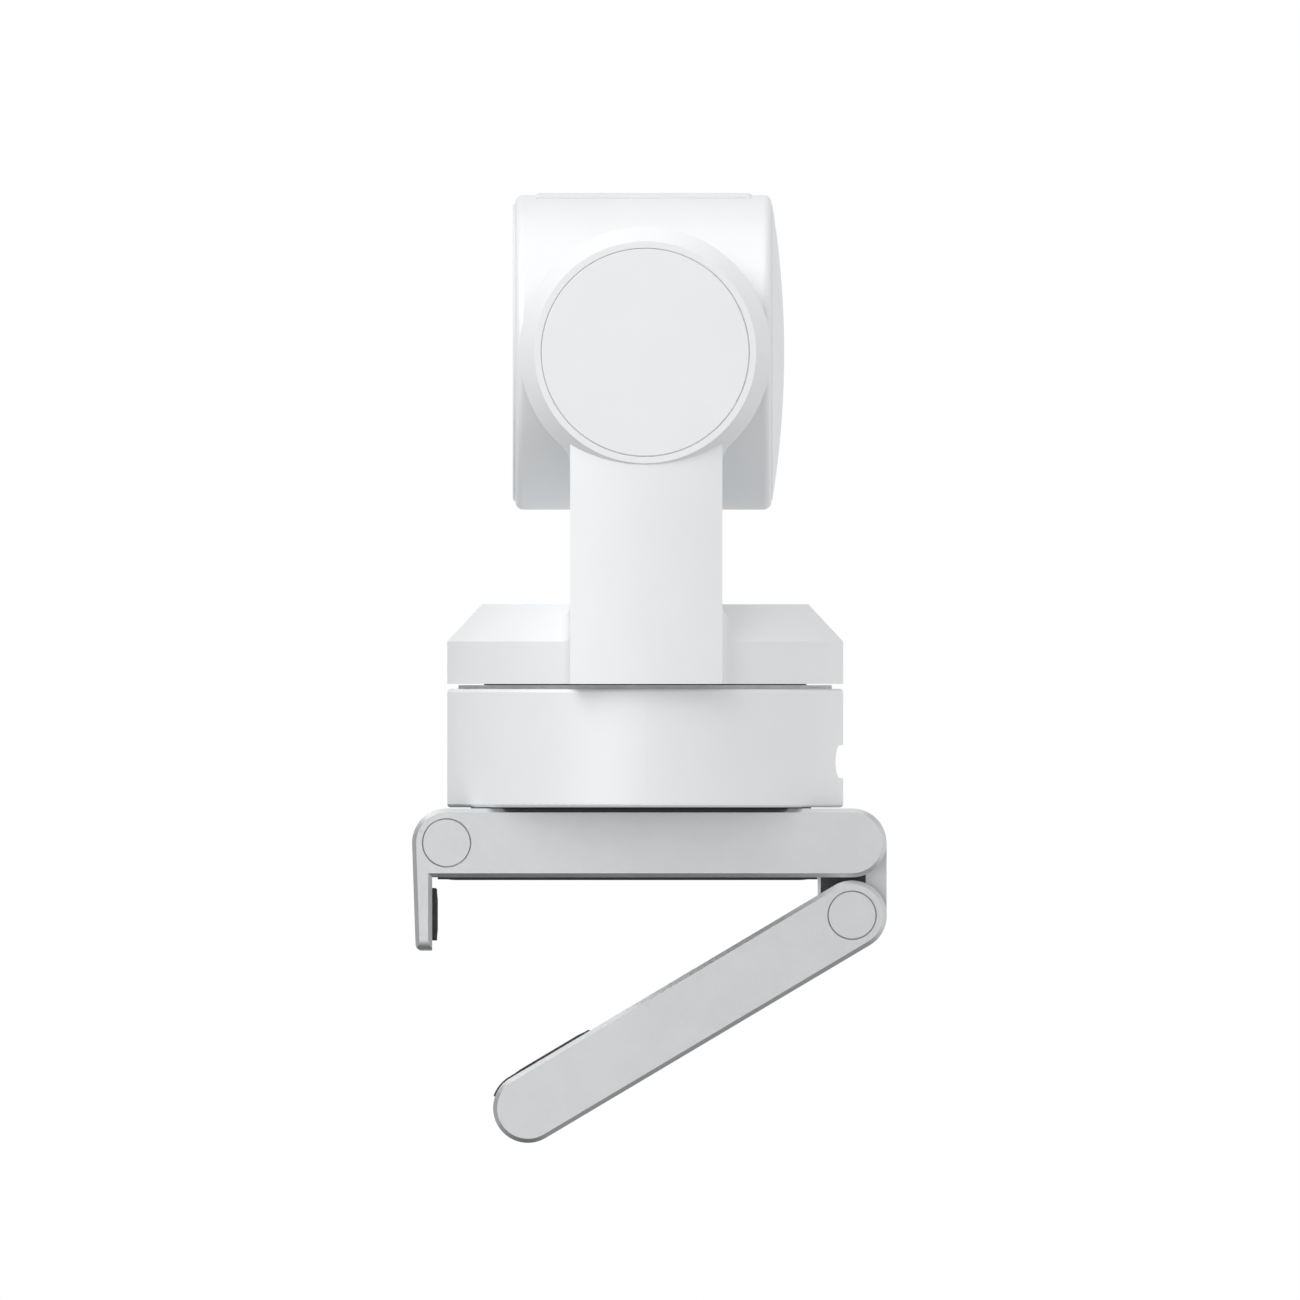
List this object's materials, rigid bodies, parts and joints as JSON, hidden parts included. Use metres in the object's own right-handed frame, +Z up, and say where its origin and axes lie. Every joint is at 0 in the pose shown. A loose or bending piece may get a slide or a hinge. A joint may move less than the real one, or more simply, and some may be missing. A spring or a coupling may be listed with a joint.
{
  "type": "pan-tilt webcam",
  "caption": "Pan-tilt video camera: barrel-shaped head on a single side arm, round turntable and base, on a folding monitor clip with a hinged rear leg.",
  "frame": {"origin": "centre of the clip's rubber rest, where it sits on a screen's top edge, below the pan axis", "axes": "+Z up along the pan axis, -Y the way the lens looks, +X towards the side arm, along the tilt axis"},
  "size_m": [0.0602, 0.0696, 0.1391],
  "materials": {
    "shell": "fine satin moulded white",
    "clip_metal": "fine bead-blasted, anodised silver",
    "trim_metal": "turned, satin",
    "rubber": "matt black",
    "dark_plastic": "fine matt charcoal",
    "gap_plastic": "matt light grey",
    "steel": "turned",
    "brass": "knurled insert",
    "circuit": "green solder mask",
    "chip": "black epoxy",
    "motor": "wound laminations",
    "magnet": "sintered",
    "bearing": "acetal",
    "face_black": "polished black",
    "lens_glass": "coated optical glass",
    "cast_alloy": "die-cast",
    "flex": "polyimide film",
    "light": "frosted light pipe"
  },
  "bodies": {
    "clip": {"clip_frame": "clip_metal", "rest_pad": "rubber", "lip_pad": "rubber", "knuckle_core": "dark_plastic", "friction_washers": "bearing", "front_pin": "steel", "front_pin_caps": "clip_metal"},
    "leg": {"leg": "clip_metal", "leg_cover": "dark_plastic", "leg_grip_pad": "rubber", "tripod_insert": "brass", "leg_pin": "steel", "leg_pin_caps": "clip_metal"},
    "base": {"platform": "dark_plastic", "camera_screw": "steel", "base_shell": "shell", "base_cover": "dark_plastic", "base_screws": "steel", "base_insert": "brass", "main_board": "circuit", "board_chips": "chip", "usb_c_port": "steel", "usb_c_tongue": "chip", "pan_motor": "motor", "pan_bearing": "bearing", "dust_ring": "gap_plastic"},
    "yoke": {"yoke_shell": "shell", "turntable_plate": "cast_alloy", "turntable_screws": "steel", "pan_shaft": "steel", "pan_rotor": "magnet", "arm_cover": "shell", "tilt_bearing": "bearing", "tilt_motor": "motor", "arm_board": "circuit", "arm_flex": "flex", "hub_cap": "shell"},
    "head": {"head_shell": "shell", "rear_cover": "shell", "front_bezel": "shell", "face_glass": "face_black", "face_tray": "dark_plastic", "status_light": "light", "lens_ring": "trim_metal", "lens_window": "lens_glass", "lens_barrel": "dark_plastic", "front_lens": "lens_glass", "sensor_holder": "dark_plastic", "image_sensor": "chip", "sensor_board": "circuit", "heat_sink": "cast_alloy", "head_frame": "cast_alloy", "head_board": "circuit", "head_chips": "chip", "tilt_shaft": "steel", "tilt_rotor": "magnet", "top_panel": "shell"},
    "focus": {"focus_carrier": "dark_plastic", "focus_lens": "lens_glass"}
  },
  "joints": [
    {"name": "leg_hinge", "type": "hinge", "parent": "clip", "child": "leg", "pos_m": [0, 0.0303, -0.00525], "axis": [1, 0, 0], "range_deg": [-30, 95]},
    {"name": "platform_hinge", "type": "hinge", "parent": "clip", "child": "base", "pos_m": [0, -0.0291, 0.00535], "axis": [1, 0, 0], "range_deg": [0, 70]},
    {"name": "pan", "type": "hinge", "parent": "base", "child": "yoke", "pos_m": [0, 0, 0.02863], "axis": [0, 0, 1], "range_deg": [-150, 150]},
    {"name": "tilt", "type": "hinge", "parent": "yoke", "child": "head", "pos_m": [0, 0, 0.0772], "axis": [1, 0, 0], "range_deg": [-45, 90]},
    {"name": "focus", "type": "slide", "parent": "head", "child": "focus", "axis": [0, -1, 0], "range_m": [0, 0.0004], "stiffness_N_per_m": 40}
  ]
}
